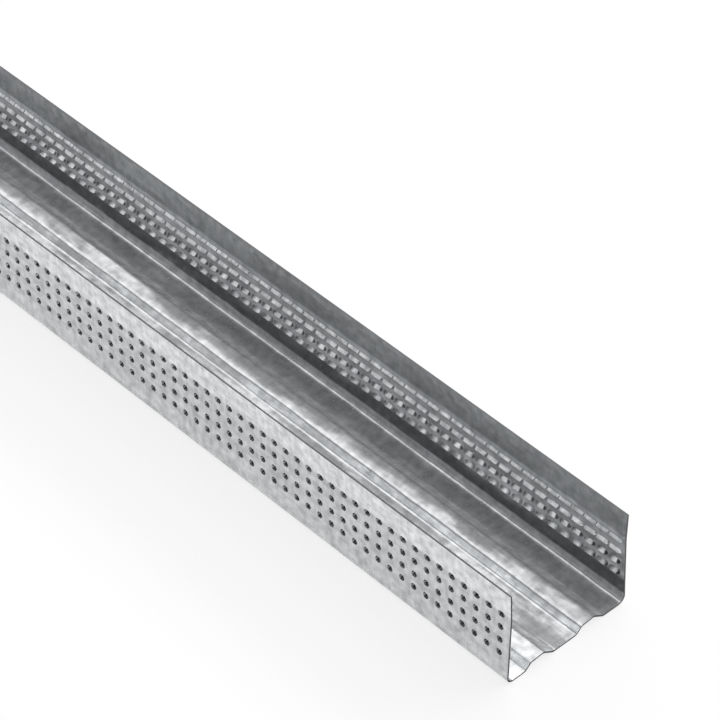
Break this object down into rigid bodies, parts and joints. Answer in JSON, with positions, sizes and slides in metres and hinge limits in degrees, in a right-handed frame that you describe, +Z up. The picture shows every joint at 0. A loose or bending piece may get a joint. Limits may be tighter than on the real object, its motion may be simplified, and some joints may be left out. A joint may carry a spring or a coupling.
{
  "type": "drywall track",
  "caption": "U-shaped drywall track rolled from thin galvanised steel, with a ribbed web and creased, knurled flanges that hold the ends of wall studs.",
  "frame": {"origin": "on the underside of the web, at the middle of the length and of the width", "axes": "+X along the track, +Y across the web towards the left flange, +Z up out of the open side of the channel"},
  "size_m": [3, 0.0498, 0.037],
  "materials": {
    "galvanised_steel": "hot-dip galvanised, fine spangle, satin"
  },
  "bodies": {
    "root": {"track": "galvanised_steel"}
  },
  "joints": []
}
